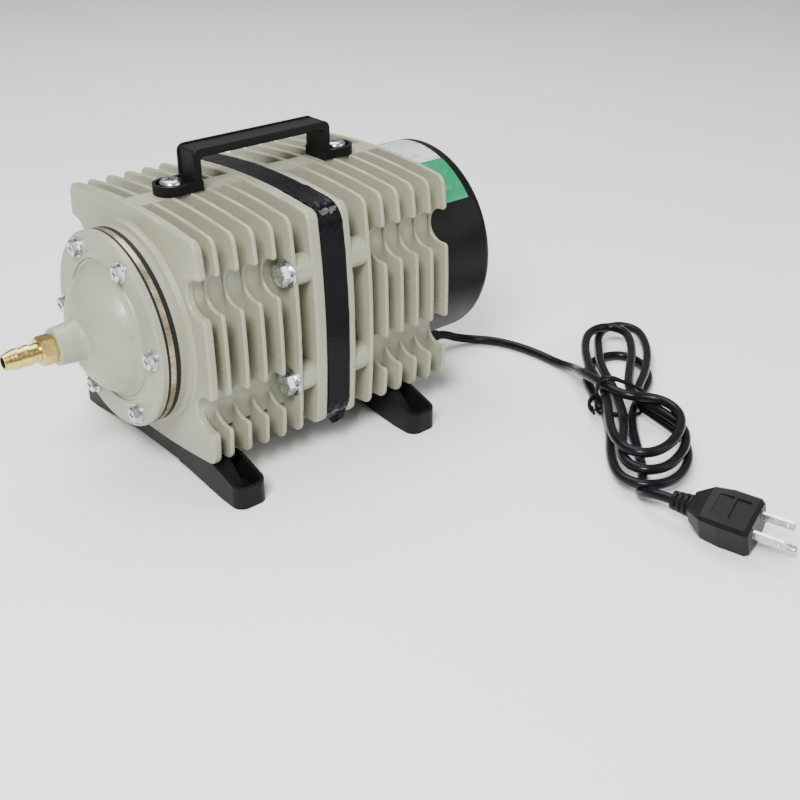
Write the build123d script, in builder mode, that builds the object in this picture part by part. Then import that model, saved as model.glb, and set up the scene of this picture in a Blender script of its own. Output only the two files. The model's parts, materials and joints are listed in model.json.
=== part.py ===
from build123d import *
import os
from math import cos, hypot, pi, radians, sin, tan

os.makedirs("parts", exist_ok=True)

# A linear piston air pump. +X runs along the pump axis from the brass outlet to the rear cap,
# +Z is up, and the origin is on the floor under the middle of the pump.
# A station is a distance along the axis, measured back from the front flange's front face.

# ---------------------------------------------------------------- driving dimensions, mm
axis_z = 86.0  # height of the pump axis above the floor
front_x = -69.0  # the front flange's front face
fin_pitch = 12.0
fin_thickness = 2.6
crown_height = 70.0  # axis to the top and to the bottom of the flanges, at the middle
side_height = 65.0  # axis to where the crown meets the sides
half_width = 72.3
corner_radius = 6.5
core_inset = 15.8  # how far the casting's core lies inside the fins' tips
spine_width = 17.0  # bar along the top that joins the fins and carries the handle

front_flange = (0.0, 5.4)
first_front_fin = 11.2
front_fins = 5
clamp_front = (72.0, 79.5)  # the flange that clamps the stator from the front
stator = (79.5, 95.0)
clamp_rear = (95.0, 100.5)
first_rear_fin = 111.2
rear_fins = 6
rear_end = first_rear_fin + 5 * fin_pitch + fin_thickness

bolt_y = 64.6  # the four housing bolts
bolt_z = 33.6
bolt_radius = 3.0
boss_y = 62.3  # the round bosses behind the bolts' heads, a little nearer the axis than the bolts
boss_z = 33.0
boss_radius = 8.7
notch_y = 66.0  # the notches that clear the bolts' heads
notch_z = 34.3
notch_radius = 10.3
bolt_seat = first_front_fin + 4 * fin_pitch  # the bolt heads stand on the front of the fifth fin

chamber_radius = 51.0
liner_bore = 25.0
liner_radius = 29.0
liner = (-7.6, 42.0)
head_radius = 57.0
head_screw_circle = 49.2
boss_front = -7.6
plate_front = -13.6
plate_back = -10.4
cover_back = -15.2
cover_front = -19.5
neck_front = -52.8
barb_tip = -81.5

piston_front = 6.0
piston_back = 30.0
valve_lift = 1.1
valve_thickness = 1.2
rod_radius = 6.0
rod_end_radius = 5.0
armature = (64.0, 90.0)
armature_radius = 24.0
pole_radius = 24.6
pole_half_height = 15.0
web = (136.0, 142.0)  # wall that carries the rear bush
spring_radius = 13.5
spring_wire = 2.8
spring_turns = 6

cap_radius = 64.0
cap_end = 219.5
cap_wall = 2.7
cap_screw_offset = 38.0

foot_stations = {"front_foot": 11.8, "rear_foot": 139.6}
foot_width = 20.4
foot_half_length = 89.4
foot_screw_y = 45.0
anchor_y = 79.0  # holes for fixing the pump to a shelf
anchor_radius = 2.6

handle_middle = 86.5
handle_length = 95.0
handle_top = 93.5  # above the axis
handle_width = 18.0
handle_thickness = 5.2
handle_screw_span = 115.0
tab_radius = 10.5

cord_diameter = 6.0
running_gap = 0.04

pump_axis = Axis((0, 0, axis_z), (1, 0, 0))
side_plane = Plane(origin=(front_x, 0, axis_z), x_dir=(1, 0, 0), z_dir=(0, -1, 0))


def across(station, y=0.0, z=0.0):
    """A plane across the pump axis that faces rearwards; its x is +Y and its y is +Z."""
    return Plane(origin=(front_x + station, y, axis_z + z), x_dir=(0, 1, 0), z_dir=(1, 0, 0))


def facing_front(station, y=0.0, z=0.0):
    """A plane across the pump axis that faces the outlet."""
    return Plane(origin=(front_x + station, y, axis_z + z), x_dir=(0, -1, 0), z_dir=(-1, 0, 0))


def level(station, y, z):
    """A level plane at a height above or below the pump axis."""
    return Plane(origin=(front_x + station, y, axis_z + z), x_dir=(1, 0, 0), z_dir=(0, 0, 1))


def point(station, y, z):
    return Vector(front_x + station, y, axis_z + z)


def polar(radius, degrees):
    return (radius * cos(radians(degrees)), radius * sin(radians(degrees)))


def make_outline(inset):
    """The bulged square that every flange and fin follows, seen along the axis."""
    bottom_half = half_width - 2.8
    top_half = half_width - 5.3
    with BuildSketch() as shape:
        with BuildLine():
            ThreePointArc((-top_half, side_height), (0, crown_height), (top_half, side_height))
            ThreePointArc((top_half, side_height), (half_width, 0), (bottom_half, -side_height))
            ThreePointArc((bottom_half, -side_height), (0, -crown_height), (-bottom_half, -side_height))
            ThreePointArc((-bottom_half, -side_height), (-half_width, 0), (-top_half, side_height))
        make_face()
        fillet(shape.vertices(), radius=corner_radius)
        if inset:
            offset(amount=-inset)
    return shape.sketch


def bolt_places():
    return [(y, z) for y in (-bolt_y, bolt_y) for z in (-bolt_z, bolt_z)]


def make_notches():
    with BuildSketch() as shape:
        for y in (-notch_y, notch_y):
            for z in (-notch_z, notch_z):
                with Locations((y, z)):
                    Circle(notch_radius)
                with Locations((1.2 * y, z)):
                    Rectangle(0.4 * notch_y, 2 * notch_radius)
    return shape.sketch


full_outline = make_outline(0)
core_outline = make_outline(core_inset)
notches = make_notches()


def make_plate(thickness, notched, edge_radius):
    """One flange or fin with rounded edges, its front face at station 0."""
    with BuildPart() as plate:
        with BuildSketch(across(0)) as shape:
            add(full_outline)
            if notched:
                add(notches, mode=Mode.SUBTRACT)
                mouths = [v for v in shape.vertices() if abs(v.Y) < 50 and abs(v.X) > 66]
                fillet(mouths, radius=2.6)
        extrude(amount=thickness)
        faces = plate.faces().sort_by(Axis.X)
        rims = faces[0].outer_wire().edges() + faces[-1].outer_wire().edges()
        fillet(rims, radius=edge_radius)
    return plate.part


notched_flange = make_plate(front_flange[1], True, 1.6)
notched_fin = make_plate(fin_thickness, True, 1.0)
plain_fin = make_plate(fin_thickness, False, 1.0)
front_clamp = make_plate(clamp_front[1] - clamp_front[0], False, 1.6)
rear_clamp = make_plate(clamp_rear[1] - clamp_rear[0], False, 1.6)


def at_station(piece, station):
    return piece.moved(Location((station, 0, 0)))


def make_bosses(start, end):
    """The four round bosses that the housing bolts pass through."""
    with BuildPart() as bosses:
        with BuildSketch(across(start)):
            with GridLocations(2 * boss_y, 2 * boss_z, 2, 2):
                Circle(boss_radius)
            add(make_outline(0.2), mode=Mode.INTERSECT)
        extrude(amount=end - start)
    return bosses.part


def make_spine(start, end, sign):
    """A bar along the top (sign 1) or the bottom (sign -1), flush with the fins' tips."""
    with BuildPart() as bar:
        with BuildSketch(across(start)):
            with Locations((0, sign * 60)):
                Rectangle(spine_width, 24)
            add(make_outline(0.3), mode=Mode.INTERSECT)
        extrude(amount=end - start)
    return bar.part


def make_foot_bosses(station):
    with BuildPart() as bosses:
        with BuildSketch(level(station, 0, -crown_height - 5)):
            with Locations((0, -foot_screw_y), (0, foot_screw_y)):
                Circle(6.0)
        extrude(amount=24)
        with BuildSketch(across(station - 10)):
            add(make_outline(0.3))
        extrude(amount=20, mode=Mode.INTERSECT)
    return bosses.part


front_bosses = make_bosses(bolt_seat + 0.5, clamp_front[1] - 1)
rear_bosses = make_bosses(clamp_rear[0] + 1, first_rear_fin + 1)
front_spine = make_spine(1.0, stator[0] - 1, 1)
rear_spine = make_spine(stator[1] + 1, rear_end - 1, 1)
front_keel = make_spine(1.0, stator[0] - 1, -1)
rear_keel = make_spine(stator[1] + 1, rear_end - 1, -1)
front_foot_bosses = make_foot_bosses(foot_stations["front_foot"])
rear_foot_bosses = make_foot_bosses(foot_stations["rear_foot"])
handle_screw_stations = [handle_middle - handle_screw_span / 2, handle_middle + handle_screw_span / 2]
head_screw_places = [polar(head_screw_circle, 60 * i) for i in range(6)]
cap_screw_places = [(y, z) for y in (-cap_screw_offset, cap_screw_offset)
                    for z in (-cap_screw_offset, cap_screw_offset)]

# ---------------------------------------------------------------- front housing
with BuildPart() as front_housing:
    add(notched_flange)
    for i in range(front_fins):
        fin = notched_fin if i < front_fins - 1 else plain_fin
        add(at_station(fin, first_front_fin + i * fin_pitch))
    add(at_station(front_clamp, clamp_front[0]))
    with BuildSketch(across(1.0)):
        add(core_outline)
    extrude(amount=stator[0] - 1.5)
    with BuildSketch(across(0)):
        add(notches)
    extrude(amount=bolt_seat, mode=Mode.SUBTRACT)
    add(front_bosses)
    add(front_spine)
    add(front_keel)
    add(front_foot_bosses)
    # stepped round boss that carries the head
    with BuildSketch(side_plane):
        with BuildLine():
            Polyline((boss_front, 0), (boss_front, 55.6), (boss_front + 0.8, 56.4), (-3.4, 56.4),
                     (-2.9, 59.0), (-1.2, 59.6), (1.0, 61.5), (1.0, 0), (boss_front, 0))
        make_face()
    revolve(axis=pump_axis)
    # cylinder bore, motor chamber and holes
    with BuildSketch(across(boss_front)):
        Circle(liner_radius + 0.05)
    extrude(amount=stator[0] - boss_front, mode=Mode.SUBTRACT)
    with BuildSketch(across(46.0)):
        Circle(chamber_radius)
    extrude(amount=stator[0] - 46.0, mode=Mode.SUBTRACT)
    with BuildSketch(across(boss_front)):
        with Locations(*head_screw_places):
            Circle(2.5)
    extrude(amount=15.0, mode=Mode.SUBTRACT)
    with BuildSketch(across(50.0)):
        with Locations(*bolt_places()):
            Circle(bolt_radius + 0.3)
    extrude(amount=30.0, mode=Mode.SUBTRACT)
    with BuildSketch(level(handle_screw_stations[0], 0, crown_height)):
        Circle(3.0)
    extrude(amount=-14.0, mode=Mode.SUBTRACT)
    with BuildSketch(level(foot_stations["front_foot"], 0, -crown_height - 1)):
        with Locations((0, -foot_screw_y), (0, foot_screw_y)):
            Circle(2.5)
    extrude(amount=16.0, mode=Mode.SUBTRACT)
front_housing.part.label = "front_housing"
export_step(front_housing.part, "parts/front_housing.step")

# ---------------------------------------------------------------- rear housing
with BuildPart() as rear_housing:
    add(at_station(rear_clamp, clamp_rear[0]))
    for i in range(rear_fins):
        fin = plain_fin if i == 0 else notched_fin
        add(at_station(fin, first_rear_fin + i * fin_pitch))
    with BuildSketch(across(stator[1] + 0.5)):
        add(core_outline)
    extrude(amount=rear_end - stator[1] - 1.0)
    with BuildSketch(across(first_rear_fin + fin_thickness)):
        add(notches)
    extrude(amount=rear_end - first_rear_fin, mode=Mode.SUBTRACT)
    add(rear_bosses)
    add(rear_spine)
    add(rear_keel)
    add(rear_foot_bosses)
    with BuildSketch(across(stator[1])):
        Circle(chamber_radius)
    extrude(amount=rear_end - stator[1], mode=Mode.SUBTRACT)
    # wall with the bush hub and the air passages
    with BuildSketch(across(web[0])):
        Circle(chamber_radius + 2)
        with PolarLocations(34.0, 6):
            Circle(7.0, mode=Mode.SUBTRACT)
    extrude(amount=web[1] - web[0])
    with BuildSketch(across(web[0])):
        Circle(14.0)
    extrude(amount=14.0)
    with BuildSketch(across(web[0])):
        Circle(9.0)
    extrude(amount=14.0, mode=Mode.SUBTRACT)
    with BuildSketch(across(stator[1])):
        with Locations(*bolt_places()):
            Circle(bolt_radius)
    extrude(amount=18.0, mode=Mode.SUBTRACT)
    with BuildSketch(across(rear_end)):
        with Locations(*cap_screw_places):
            Circle(2.0)
    extrude(amount=-14.0, mode=Mode.SUBTRACT)
    with BuildSketch(level(handle_screw_stations[1], 0, crown_height)):
        Circle(3.0)
    extrude(amount=-14.0, mode=Mode.SUBTRACT)
    with BuildSketch(level(foot_stations["rear_foot"], 0, -crown_height - 1)):
        with Locations((0, -foot_screw_y), (0, foot_screw_y)):
            Circle(2.5)
    extrude(amount=16.0, mode=Mode.SUBTRACT)
rear_housing.part.label = "rear_housing"
export_step(rear_housing.part, "parts/rear_housing.step")


# ---------------------------------------------------------------- fasteners
def make_screw(radius, length, head, recess):
    """A screw along +Z, its head's seat at the origin. head is ("hex", corner radius, height)
    or ("pan", radius, height), and recess is the depth of the cross in its top, or 0."""
    kind, head_radius_, head_height = head
    with BuildPart() as screw:
        with BuildSketch(Plane.XY):
            Circle(radius)
        extrude(amount=-length)
        with BuildSketch(Plane.XY):
            if kind == "hex":
                RegularPolygon(head_radius_, 6)
            else:
                Circle(head_radius_)
        extrude(amount=head_height)
        top = screw.faces().sort_by(Axis.Z)[-1]
        if kind == "hex":
            chamfer(top.outer_wire().edges(), length=0.5)
        else:
            fillet(top.outer_wire().edges(), radius=0.62 * head_height)
        if recess:
            with BuildSketch(Plane.XY.offset(head_height - recess)):
                Rectangle(1.1 * head_radius_, 0.22 * head_radius_)
                Rectangle(0.22 * head_radius_, 1.1 * head_radius_)
            extrude(amount=recess + 1, mode=Mode.SUBTRACT)
    return screw.part


def make_washer(outer, inner, thickness):
    with BuildPart() as washer:
        with BuildSketch(Plane.XY):
            Circle(outer)
            Circle(inner, mode=Mode.SUBTRACT)
        extrude(amount=thickness)
    return washer.part


head_washer_thickness = 1.0
head_screw = make_screw(2.45, 24.0, ("hex", 4.7, 3.6), 1.4)
head_washer = make_washer(5.6, 2.7, head_washer_thickness)
with BuildPart() as head_screws:
    for y, z in head_screw_places:
        add(head_screw.moved(facing_front(cover_front - head_washer_thickness, y, z).location))
head_screws.part.label = "head_screws"
export_step(head_screws.part, "parts/head_screws.step")

with BuildPart() as head_washers:
    for y, z in head_screw_places:
        add(head_washer.moved(facing_front(cover_front, y, z).location))
head_washers.part.label = "head_washers"
export_step(head_washers.part, "parts/head_washers.step")

flat_washer_thickness = 1.3
spring_washer_thickness = 1.5
bolt_head_seat = bolt_seat - flat_washer_thickness - spring_washer_thickness
housing_bolt = make_screw(bolt_radius - 0.05, 56.0, ("hex", 6.9, 4.2), 0)
flat_washer = make_washer(7.9, bolt_radius + 0.3, flat_washer_thickness)
with BuildPart() as split_ring:
    with BuildSketch(Plane.XY):
        Circle(6.5)
        Circle(bolt_radius + 0.2, mode=Mode.SUBTRACT)
        with Locations((4.9, 0)):
            Rectangle(4.4, 0.9, rotation=20, mode=Mode.SUBTRACT)
    extrude(amount=spring_washer_thickness)

with BuildPart() as housing_bolts:
    for y, z in bolt_places():
        add(housing_bolt.moved(facing_front(bolt_head_seat, y, z).location))
housing_bolts.part.label = "housing_bolts"
export_step(housing_bolts.part, "parts/housing_bolts.step")

with BuildPart() as bolt_flat_washers:
    for y, z in bolt_places():
        add(flat_washer.moved(facing_front(bolt_seat, y, z).location))
bolt_flat_washers.part.label = "bolt_flat_washers"
export_step(bolt_flat_washers.part, "parts/bolt_flat_washers.step")

with BuildPart() as bolt_spring_washers:
    for y, z in bolt_places():
        add(split_ring.part.moved(facing_front(bolt_seat - flat_washer_thickness, y, z).location))
bolt_spring_washers.part.label = "bolt_spring_washers"
export_step(bolt_spring_washers.part, "parts/bolt_spring_washers.step")

# ---------------------------------------------------------------- domed head cover
neck_bore = 6.6
neck_bore_end = -40.0
with BuildPart() as head_cover:
    with BuildSketch(side_plane):
        with BuildLine():
            Polyline((cover_back, 34.0), (cover_back, head_radius), (cover_front + 1.2, head_radius),
                     (cover_front, head_radius - 1.2), (cover_front, 41.6), (cover_front + 0.9, 41.1),
                     (cover_front + 0.9, 39.4), (cover_front, 38.8), (-20.6, 37.6), (-22.0, 36.4))
            ThreePointArc((-22.0, 36.4), (-32.0, 27.4), (-37.6, 13.6))
            Polyline((-37.6, 13.6), (-38.6, 12.4), (-40.4, 11.8), (neck_front + 0.8, 10.6),
                     (neck_front, 9.8), (neck_front, neck_bore), (neck_bore_end, neck_bore),
                     (neck_bore_end, 4.6), (-35.0, 4.6), (-34.4, 7.0))
            ThreePointArc((-34.4, 7.0), (-29.4, 24.0), (-19.5, 33.0))
            Line((-19.5, 33.0), (cover_back, 34.0))
        make_face()
    revolve(axis=pump_axis)
    with BuildSketch(facing_front(cover_back)):
        with PolarLocations(head_screw_circle, 6):
            Circle(2.6)
    extrude(amount=cover_back - cover_front, mode=Mode.SUBTRACT)
head_cover.part.label = "head_cover"
export_step(head_cover.part, "parts/head_cover.step")

# ---------------------------------------------------------------- brass hose barb
barb_radius = 5.9
hex_front = -61.8
with BuildPart() as hex_collar:
    with BuildSketch(facing_front(neck_front)):
        RegularPolygon(8.5, 6)
    extrude(amount=neck_front - hex_front)
    with BuildSketch(side_plane):
        with BuildLine():
            Polyline((neck_front, 0), (neck_front, 7.5), (neck_front - 1.4, 8.6), (hex_front + 1.6, 8.6),
                     (hex_front, 7.3), (hex_front, 0), (neck_front, 0))
        make_face()
    revolve(axis=pump_axis, mode=Mode.INTERSECT)

with BuildPart() as outlet_barb:
    with BuildSketch(side_plane):
        with BuildLine():
            Polyline((barb_tip, 3.2), (barb_tip, 4.2), (-74.6, barb_radius), (-73.0, barb_radius),
                     (-73.0, 5.0), (-68.2, barb_radius), (-66.4, barb_radius), (-66.4, 5.3),
                     (hex_front + 0.4, 5.5),
                     (hex_front + 0.4, neck_bore - 0.1), (-42.0, neck_bore - 0.1), (-41.0, neck_bore - 0.9),
                     (-41.0, 3.2), (barb_tip, 3.2))
        make_face()
    revolve(axis=pump_axis)
    add(hex_collar.part)
    hex_faces = outlet_barb.faces().filter_by(Axis.X).sort_by(SortBy.AREA)
    with BuildSketch(across(barb_tip)):
        Circle(3.2)
    extrude(amount=42.0, mode=Mode.SUBTRACT)
outlet_barb.part.label = "outlet_barb"
export_step(outlet_barb.part, "parts/outlet_barb.step")


# ---------------------------------------------------------------- gaskets and valve plate
def make_disc(front, back, outer, inner, hole_radius):
    """A flat ring between two stations, with holes for the head screws."""
    with BuildPart() as disc:
        with BuildSketch(across(front)):
            Circle(outer)
            if inner:
                Circle(inner, mode=Mode.SUBTRACT)
            with PolarLocations(head_screw_circle, 6):
                Circle(hole_radius, mode=Mode.SUBTRACT)
        extrude(amount=back - front)
    return disc.part


port_circle = 10.5
with BuildPart() as head_gasket:
    add(make_disc(cover_back, plate_front, head_radius - 0.1, 35.0, 2.7))
head_gasket.part.label = "head_gasket"
export_step(head_gasket.part, "parts/head_gasket.step")

with BuildPart() as valve_plate:
    add(make_disc(plate_front, plate_back, head_radius - 0.25, 0, 2.6))
    with BuildSketch(across(plate_front)):
        with PolarLocations(port_circle, 8):
            Circle(2.4)
        Circle(1.55)
    extrude(amount=plate_back - plate_front, mode=Mode.SUBTRACT)
valve_plate.part.label = "valve_plate"
export_step(valve_plate.part, "parts/valve_plate.step")

with BuildPart() as cylinder_gasket:
    add(make_disc(plate_back, boss_front, head_radius - 0.3, 26.5, 2.7))
cylinder_gasket.part.label = "cylinder_gasket"
export_step(cylinder_gasket.part, "parts/cylinder_gasket.step")


# ---------------------------------------------------------------- disc valves
def make_valve_disc(seat, outer):
    """A flexible disc lying on a seat at the given station, on the outlet side of it."""
    with BuildPart() as disc:
        with BuildSketch(facing_front(seat)):
            Circle(outer)
            Circle(2.2, mode=Mode.SUBTRACT)
        extrude(amount=valve_thickness)
    return disc.part


def make_guard(seat, outer):
    """A perforated stop plate on a hub, which limits how far the disc lifts."""
    gap = valve_thickness + valve_lift + 0.05
    with BuildPart() as guard:
        with BuildSketch(facing_front(seat)):
            Circle(2.1)
        extrude(amount=gap)
        with BuildSketch(facing_front(seat - gap)):
            Circle(outer)
            with PolarLocations(0.66 * outer, 6):
                Circle(0.2 * outer, mode=Mode.SUBTRACT)
        extrude(amount=1.2)
        with BuildSketch(facing_front(seat)):
            Circle(1.55)
        extrude(amount=gap + 1.2, mode=Mode.SUBTRACT)
    return guard.part


guard_depth = valve_thickness + valve_lift + 0.05 + 1.2
guard_screw = make_screw(1.5, guard_depth + 3.0, ("pan", 2.8, 1.8), 0.8)
with BuildPart() as discharge_valve:
    add(make_valve_disc(plate_front, 15.0))
discharge_valve.part.label = "discharge_valve"
export_step(discharge_valve.part, "parts/discharge_valve.step")

with BuildPart() as discharge_guard:
    add(make_guard(plate_front, 14.0))
discharge_guard.part.label = "discharge_guard"
export_step(discharge_guard.part, "parts/discharge_guard.step")

with BuildPart() as discharge_guard_screw:
    add(guard_screw.moved(facing_front(plate_front - guard_depth).location))
discharge_guard_screw.part.label = "discharge_guard_screw"
export_step(discharge_guard_screw.part, "parts/discharge_guard_screw.step")

with BuildPart() as intake_valve:
    add(make_valve_disc(piston_front, 15.0))
intake_valve.part.label = "intake_valve"
export_step(intake_valve.part, "parts/intake_valve.step")

with BuildPart() as intake_guard:
    add(make_guard(piston_front, 14.0))
intake_guard.part.label = "intake_guard"
export_step(intake_guard.part, "parts/intake_guard.step")

with BuildPart() as intake_guard_screw:
    add(guard_screw.moved(facing_front(piston_front - guard_depth).location))
intake_guard_screw.part.label = "intake_guard_screw"
export_step(intake_guard_screw.part, "parts/intake_guard_screw.step")

# ---------------------------------------------------------------- cylinder, piston, rod and armature
with BuildPart() as cylinder_liner:
    with BuildSketch(across(liner[0])):
        Circle(liner_radius)
        Circle(liner_bore, mode=Mode.SUBTRACT)
    extrude(amount=liner[1] - liner[0])
cylinder_liner.part.label = "cylinder_liner"
export_step(cylinder_liner.part, "parts/cylinder_liner.step")

ring_groove = (9.5, 14.5)
piston_radius = liner_bore - 0.25
groove_radius = 22.4
with BuildPart() as piston:
    with BuildSketch(side_plane):
        with BuildLine():
            Polyline((piston_front, 0), (piston_front, piston_radius), (ring_groove[0], piston_radius),
                     (ring_groove[0], groove_radius), (ring_groove[1], groove_radius),
                     (ring_groove[1], piston_radius), (piston_back, piston_radius), (piston_back, 20.5),
                     (17.0, 20.5), (13.0, 18.0), (13.0, 8.5), (26.0, 8.5), (26.0, rod_end_radius),
                     (12.0, rod_end_radius), (12.0, 0), (piston_front, 0))
        make_face()
    revolve(axis=pump_axis)
    with BuildSketch(across(piston_front)):
        with PolarLocations(12.0, 8):
            Circle(2.2)
    extrude(amount=8.0, mode=Mode.SUBTRACT)
    with BuildSketch(across(piston_front)):
        Circle(1.55)
    extrude(amount=3.2, mode=Mode.SUBTRACT)
piston.part.label = "piston"
export_step(piston.part, "parts/piston.step")

with BuildPart() as piston_ring:
    with BuildSketch(across(ring_groove[0] + 0.05)):
        Circle(liner_bore - running_gap)
        Circle(groove_radius + 0.1, mode=Mode.SUBTRACT)
    extrude(amount=ring_groove[1] - ring_groove[0] - 0.1)
piston_ring.part.label = "piston_ring"
export_step(piston_ring.part, "parts/piston_ring.step")

rod_tail = 126.0
with BuildPart() as piston_rod:
    with BuildSketch(side_plane):
        with BuildLine():
            Polyline((12.2, 0), (12.2, rod_end_radius - 0.02), (26.0, rod_end_radius - 0.02),
                     (26.0, rod_radius), (rod_tail, rod_radius), (rod_tail, rod_end_radius),
                     (157.0, rod_end_radius), (158.0, rod_end_radius - 1.0), (158.0, 0), (12.2, 0))
        make_face()
    revolve(axis=pump_axis)
piston_rod.part.label = "piston_rod"
export_step(piston_rod.part, "parts/piston_rod.step")

with BuildPart() as armature_core:
    with BuildSketch(across(armature[0])):
        Circle(armature_radius)
        Circle(rod_radius + 0.03, mode=Mode.SUBTRACT)
        with PolarLocations(15.5, 4, start_angle=45):
            Circle(3.4, mode=Mode.SUBTRACT)
    extrude(amount=armature[1] - armature[0])
armature_core.part.label = "armature_core"
export_step(armature_core.part, "parts/armature_core.step")

nut_height = 5.5
with BuildPart() as rod_nuts:
    for start in (armature[0] - nut_height, armature[1]):
        with BuildSketch(across(start)):
            RegularPolygon(10.4, 6)
            Circle(rod_radius + 0.03, mode=Mode.SUBTRACT)
        extrude(amount=nut_height)
rod_nuts.part.label = "rod_nuts"
export_step(rod_nuts.part, "parts/rod_nuts.step")

with BuildPart() as rear_bush:
    with BuildSketch(side_plane):
        with BuildLine():
            Polyline((web[0] + 0.5, rod_end_radius + running_gap), (web[0] + 0.5, 8.98), (150.0, 8.98),
                     (150.0, 11.0), (151.8, 11.0), (151.8, rod_end_radius + running_gap),
                     (web[0] + 0.5, rod_end_radius + running_gap))
        make_face()
    revolve(axis=pump_axis)
rear_bush.part.label = "rear_bush"
export_step(rear_bush.part, "parts/rear_bush.step")

seat_front = 132.0
with BuildPart() as spring_seat:
    with BuildSketch(side_plane):
        with BuildLine():
            Polyline((seat_front, 9.2), (seat_front, 11.4), (seat_front - 3.0, 11.4), (seat_front - 3.0, 9.2),
                     (seat_front, 9.2))
        make_face()
        with BuildLine():
            Polyline((seat_front, 9.2), (seat_front, 17.5), (web[0], 17.5), (web[0], 9.2), (seat_front, 9.2))
        make_face()
    revolve(axis=pump_axis)
spring_seat.part.label = "spring_seat"
export_step(spring_seat.part, "parts/spring_seat.step")

spring_start = armature[1] + spring_wire / 2 + 0.2
spring_height = seat_front - armature[1] - spring_wire - 0.4
with BuildPart() as return_spring:
    with BuildLine() as coil_line:
        Helix(pitch=spring_height / spring_turns, height=spring_height, radius=spring_radius,
              center=point(spring_start, 0, 0), direction=(1, 0, 0))
    coil_path = coil_line.line
    with BuildSketch(Plane(origin=coil_path @ 0, z_dir=coil_path % 0)):
        Circle(spring_wire / 2)
    sweep(path=coil_path, is_frenet=True)
return_spring.part.label = "return_spring"
export_step(return_spring.part, "parts/return_spring.step")

# ---------------------------------------------------------------- stator
with BuildPart() as stator_core:
    with BuildSketch(across(stator[0])):
        add(make_outline(1.5))
        Circle(chamber_radius, mode=Mode.SUBTRACT)
        Rectangle(2 * chamber_radius + 4, 2 * pole_half_height)
        Circle(pole_radius, mode=Mode.SUBTRACT)
        with Locations(*bolt_places()):
            Circle(bolt_radius + 0.3, mode=Mode.SUBTRACT)
    extrude(amount=stator[1] - stator[0])
stator_core.part.label = "stator_core"
export_step(stator_core.part, "parts/stator_core.step")

stator_middle = (stator[0] + stator[1]) / 2
stator_half = (stator[1] - stator[0]) / 2
bobbin_start = 26.0
bobbin_end = 44.0
bobbin_wall = 1.3
bobbin_flange = 1.5


def around_pole(y):
    """A plane across the pole at distance y from the axis, facing outwards."""
    return Plane(origin=(front_x + stator_middle, y, axis_z), x_dir=(1, 0, 0), z_dir=(0, 1, 0))


inner_x = 2 * (stator_half + 0.2)
inner_z = 2 * (pole_half_height + 0.2)
with BuildPart() as coil_bobbins:
    with BuildSketch(around_pole(bobbin_start)):
        Rectangle(inner_x + 2 * bobbin_wall, inner_z + 2 * bobbin_wall)
    extrude(amount=bobbin_end - bobbin_start)
    for start in (bobbin_start, bobbin_end - bobbin_flange):
        with BuildSketch(around_pole(start)):
            RectangleRounded(36.0, 48.5, 4.0)
        extrude(amount=bobbin_flange)
    with BuildSketch(around_pole(bobbin_start)):
        Rectangle(inner_x, inner_z)
    extrude(amount=bobbin_end - bobbin_start, mode=Mode.SUBTRACT)
    mirror(about=Plane.XZ)
coil_bobbins.part.label = "coil_bobbins"
export_step(coil_bobbins.part, "parts/coil_bobbins.step")

with BuildPart() as coil_windings:
    with BuildSketch(around_pole(bobbin_start + bobbin_flange + 0.1)):
        RectangleRounded(34.0, 47.0, 6.0)
        Rectangle(inner_x + 2 * bobbin_wall + 0.2, inner_z + 2 * bobbin_wall + 0.2, mode=Mode.SUBTRACT)
    extrude(amount=bobbin_end - bobbin_start - 2 * bobbin_flange - 0.2)
    mirror(about=Plane.XZ)
coil_windings.part.label = "coil_windings"
export_step(coil_windings.part, "parts/coil_windings.step")

with BuildPart() as stator_tape:
    with BuildSketch(across(stator[0] + 0.1)):
        add(make_outline(0.7))
        add(make_outline(1.5), mode=Mode.SUBTRACT)
    extrude(amount=stator[1] - stator[0] - 0.2)
stator_tape.part.label = "stator_tape"
export_step(stator_tape.part, "parts/stator_tape.step")

# ---------------------------------------------------------------- feet
foot_wall = 2.1
foot_floor = 4.0
pocket_start = 60.5
ramp_end = 74.0  # a ramp fills most of the pocket's width from its inner end to here
ramp_gap = 4.4
pad_start = 72.0
arch_height = 4.5
step_y = 26.0


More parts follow.
